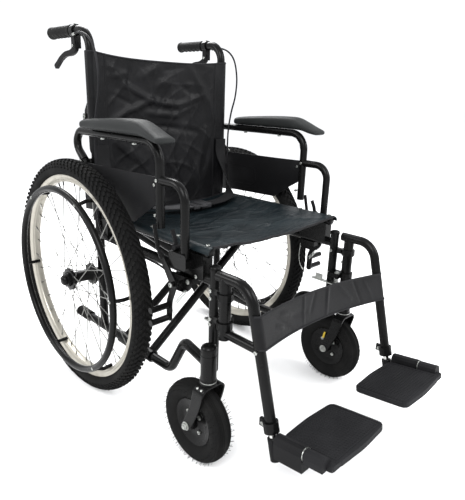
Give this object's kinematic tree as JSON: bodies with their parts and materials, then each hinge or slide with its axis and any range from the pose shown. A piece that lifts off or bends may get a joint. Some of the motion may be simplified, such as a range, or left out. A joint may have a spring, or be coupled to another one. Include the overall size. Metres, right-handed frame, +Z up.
{
  "type": "manual wheelchair",
  "caption": "Folding manual wheelchair with black steel frame, spoked rear wheels with push rims, swivelling front casters, flip-up foot plates, padded arms and a nylon seat and back",
  "frame": {"origin": "on the ground under the middle of the chair", "axes": "+X to the sitter's left, +Y to the rear of the chair, +Z up"},
  "size_m": [0.662, 1.0765, 0.921],
  "materials": {
    "black_powder_coat": "semi-gloss, light orange peel",
    "black_plastic": "satin moulded",
    "grey_black_plastic": "satin, fine grain",
    "tyre_rubber": "matte",
    "grip_rubber": "matte",
    "rim_aluminium": "satin, warm grey",
    "spoke_steel": "satin",
    "zinc_plate": "zinc plated",
    "chrome": "polished",
    "black_nylon": "coated weave, soft sheen",
    "seat_nylon": "coated weave, dull",
    "belt_webbing": "woven band",
    "buckle_plastic": "satin moulded"
  },
  "bodies": {
    "right_side": {"right_frame": "black_powder_coat", "right_axle": "zinc_plate", "right_brake_mount": "black_powder_coat", "right_brake_cable": "black_plastic", "back_sling": "black_nylon", "calf_strap": "black_nylon", "lap_belt": "belt_webbing", "belt_buckle": "buckle_plastic"},
    "brace_a": {"brace_a": "black_powder_coat", "cross_bolt": "zinc_plate", "seat_sling": "seat_nylon"},
    "brace_b": {"brace_b": "black_powder_coat"},
    "left_side": {"left_frame": "black_powder_coat", "left_axle": "zinc_plate", "left_brake_mount": "black_powder_coat", "left_brake_cable": "black_plastic"},
    "left_wheel": {"left_rear_tyre": "tyre_rubber", "left_rear_rim": "rim_aluminium", "left_spoked_hub": "spoke_steel", "left_hand_rim": "black_powder_coat"},
    "left_caster_fork": {"left_caster_fork": "black_powder_coat"},
    "left_caster_wheel": {"left_caster_tyre": "tyre_rubber", "left_caster_rim": "black_powder_coat"},
    "left_leg_rest": {"left_leg_rest": "black_powder_coat"},
    "left_leg_latch": {"left_leg_latch": "zinc_plate"},
    "left_foot_rod": {"left_foot_rod": "chrome", "left_hinge_block": "black_plastic"},
    "left_foot_plate": {"left_foot_plate": "grey_black_plastic"},
    "left_arm": {"left_arm_frame": "black_powder_coat", "left_arm_pad": "grey_black_plastic", "left_side_panel": "black_plastic"},
    "left_arm_latch": {"left_arm_latch": "black_plastic"},
    "left_cane": {"left_cane": "black_powder_coat", "left_grip": "grip_rubber"},
    "left_attendant_lever": {"left_attendant_lever": "black_plastic"},
    "left_park_lever": {"left_park_lever": "black_powder_coat"},
    "left_brake_shoe": {"left_brake_shoe": "black_powder_coat"},
    "right_wheel": {"right_rear_tyre": "tyre_rubber", "right_rear_rim": "rim_aluminium", "right_spoked_hub": "spoke_steel", "right_hand_rim": "black_powder_coat"},
    "right_caster_fork": {"right_caster_fork": "black_powder_coat"},
    "right_caster_wheel": {"right_caster_tyre": "tyre_rubber", "right_caster_rim": "black_powder_coat"},
    "right_leg_rest": {"right_leg_rest": "black_powder_coat"},
    "right_leg_latch": {"right_leg_latch": "zinc_plate"},
    "right_foot_rod": {"right_foot_rod": "chrome", "right_hinge_block": "black_plastic"},
    "right_foot_plate": {"right_foot_plate": "grey_black_plastic"},
    "right_arm": {"right_arm_frame": "black_powder_coat", "right_arm_pad": "grey_black_plastic", "right_side_panel": "black_plastic"},
    "right_arm_latch": {"right_arm_latch": "black_plastic"},
    "right_cane": {"right_cane": "black_powder_coat", "right_grip": "grip_rubber"},
    "right_attendant_lever": {"right_attendant_lever": "black_plastic"},
    "right_park_lever": {"right_park_lever": "black_powder_coat"},
    "right_brake_shoe": {"right_brake_shoe": "black_powder_coat"}
  },
  "joints": [
    {"name": "fold", "type": "hinge", "parent": "right_side", "child": "brace_a", "pos_m": [-0.212, 0.2323, 0.142], "axis": [0, -1, 0], "range_deg": [0, 32], "deforming": ["seat_sling", "back_sling", "calf_strap", "lap_belt", "belt_buckle"]},
    {"name": "cross", "type": "hinge", "parent": "brace_a", "child": "brace_b", "pos_m": [0, 0.2323, 0.304], "axis": [0, -1, 0], "range_deg": [-64, 0]},
    {"name": "side", "type": "hinge", "parent": "brace_b", "child": "left_side", "pos_m": [0.212, 0.2323, 0.142], "axis": [0, -1, 0], "range_deg": [0, 32]},
    {"name": "left_wheel", "type": "hinge", "parent": "left_side", "child": "left_wheel", "pos_m": [0.279, 0.2323, 0.305], "axis": [1, 0, 0], "continuous": true},
    {"name": "left_swivel", "type": "hinge", "parent": "left_side", "child": "left_caster_fork", "pos_m": [0.25, -0.2417, 0.209], "axis": [0, 0, 1], "continuous": true},
    {"name": "left_caster", "type": "hinge", "parent": "left_caster_fork", "child": "left_caster_wheel", "pos_m": [0.25, -0.2077, 0.094], "axis": [1, 0, 0], "continuous": true},
    {"name": "left_leg_swing", "type": "hinge", "parent": "left_side", "child": "left_leg_rest", "pos_m": [0.22, -0.2537, 0.3], "axis": [0, 0, 1], "range_deg": [0, 90], "deforming": ["calf_strap"]},
    {"name": "left_latch", "type": "hinge", "parent": "left_side", "child": "left_leg_latch", "pos_m": [0.1965, -0.2417, 0.306], "axis": [0, 0, 1], "range_deg": [0, 10]},
    {"name": "left_leg_length", "type": "slide", "parent": "left_leg_rest", "child": "left_foot_rod", "axis": [0, -0.2543, -0.9671], "range_m": [0, 0.04]},
    {"name": "left_plate_flip", "type": "hinge", "parent": "left_foot_rod", "child": "left_foot_plate", "pos_m": [0.2255, -0.40742, 0.14798], "axis": [0, 0.9903, -0.1392], "range_deg": [0, 90]},
    {"name": "left_arm_flip", "type": "hinge", "parent": "left_side", "child": "left_arm", "pos_m": [0.2405, 0.2363, 0.6], "axis": [-1, 0, 0], "range_deg": [0, 100]},
    {"name": "left_arm_release", "type": "hinge", "parent": "left_side", "child": "left_arm_latch", "pos_m": [0.2405, -0.1252, 0.4668], "axis": [-1, 0, 0], "range_deg": [0, 25], "stiffness_Nm_per_rad": 0.05},
    {"name": "left_back_fold", "type": "hinge", "parent": "left_side", "child": "left_cane", "pos_m": [0.212, 0.2623, 0.7065], "axis": [-1, 0, 0], "range_deg": [0, 90], "deforming": ["back_sling"]},
    {"name": "left_squeeze", "type": "hinge", "parent": "left_cane", "child": "left_attendant_lever", "pos_m": [0.212, 0.2983, 0.872], "axis": [1, 0, 0], "range_deg": [0, 8], "stiffness_Nm_per_rad": 0.4},
    {"name": "left_park_lock", "type": "hinge", "parent": "left_side", "child": "left_park_lever", "pos_m": [0.2585, -0.1377, 0.392], "axis": [1, 0, 0], "range_deg": [0, 36.8]},
    {"name": "left_shoe_press", "type": "hinge", "parent": "left_side", "child": "left_brake_shoe", "pos_m": [0.2505, -0.1377, 0.392], "axis": [1, 0, 0], "range_deg": [0, 23]},
    {"name": "right_wheel", "type": "hinge", "parent": "right_side", "child": "right_wheel", "pos_m": [-0.279, 0.2323, 0.305], "axis": [1, 0, 0], "continuous": true},
    {"name": "right_swivel", "type": "hinge", "parent": "right_side", "child": "right_caster_fork", "pos_m": [-0.25, -0.2417, 0.209], "axis": [0, 0, 1], "continuous": true},
    {"name": "right_caster", "type": "hinge", "parent": "right_caster_fork", "child": "right_caster_wheel", "pos_m": [-0.25, -0.2077, 0.094], "axis": [1, 0, 0], "continuous": true},
    {"name": "right_leg_swing", "type": "hinge", "parent": "right_side", "child": "right_leg_rest", "pos_m": [-0.22, -0.2537, 0.3], "axis": [0, 0, -1], "range_deg": [0, 90], "deforming": ["calf_strap"]},
    {"name": "right_latch", "type": "hinge", "parent": "right_side", "child": "right_leg_latch", "pos_m": [-0.1965, -0.2417, 0.306], "axis": [0, 0, 1], "range_deg": [-10, 0]},
    {"name": "right_leg_length", "type": "slide", "parent": "right_leg_rest", "child": "right_foot_rod", "axis": [0, -0.2543, -0.9671], "range_m": [0, 0.04]},
    {"name": "right_plate_flip", "type": "hinge", "parent": "right_foot_rod", "child": "right_foot_plate", "pos_m": [-0.2255, -0.40742, 0.14798], "axis": [0, -0.9903, 0.1392], "range_deg": [0, 90]},
    {"name": "right_arm_flip", "type": "hinge", "parent": "right_side", "child": "right_arm", "pos_m": [-0.2405, 0.2363, 0.6], "axis": [-1, 0, 0], "range_deg": [0, 100]},
    {"name": "right_arm_release", "type": "hinge", "parent": "right_side", "child": "right_arm_latch", "pos_m": [-0.2405, -0.1252, 0.4668], "axis": [-1, 0, 0], "range_deg": [0, 25], "stiffness_Nm_per_rad": 0.05},
    {"name": "right_back_fold", "type": "hinge", "parent": "right_side", "child": "right_cane", "pos_m": [-0.212, 0.2623, 0.7065], "axis": [-1, 0, 0], "range_deg": [0, 90], "deforming": ["back_sling"]},
    {"name": "right_squeeze", "type": "hinge", "parent": "right_cane", "child": "right_attendant_lever", "pos_m": [-0.212, 0.2983, 0.872], "axis": [1, 0, 0], "range_deg": [0, 8], "stiffness_Nm_per_rad": 0.4},
    {"name": "right_park_lock", "type": "hinge", "parent": "right_side", "child": "right_park_lever", "pos_m": [-0.2585, -0.1377, 0.392], "axis": [1, 0, 0], "range_deg": [0, 36.8]},
    {"name": "right_shoe_press", "type": "hinge", "parent": "right_side", "child": "right_brake_shoe", "pos_m": [-0.2505, -0.1377, 0.392], "axis": [1, 0, 0], "range_deg": [0, 23]}
  ],
  "couplings": [
    {"joint": "cross", "follows": "fold", "ratio": -2},
    {"joint": "side", "follows": "fold", "ratio": 1},
    {"joint": "left_plate_flip", "follows": "fold", "ratio": 2.8125},
    {"joint": "left_shoe_press", "follows": "left_park_lock", "ratio": 0.625},
    {"joint": "right_plate_flip", "follows": "fold", "ratio": 2.8125},
    {"joint": "right_shoe_press", "follows": "right_park_lock", "ratio": 0.625},
    {"joint": "left_back_fold", "follows": "right_back_fold", "ratio": 1}
  ]
}
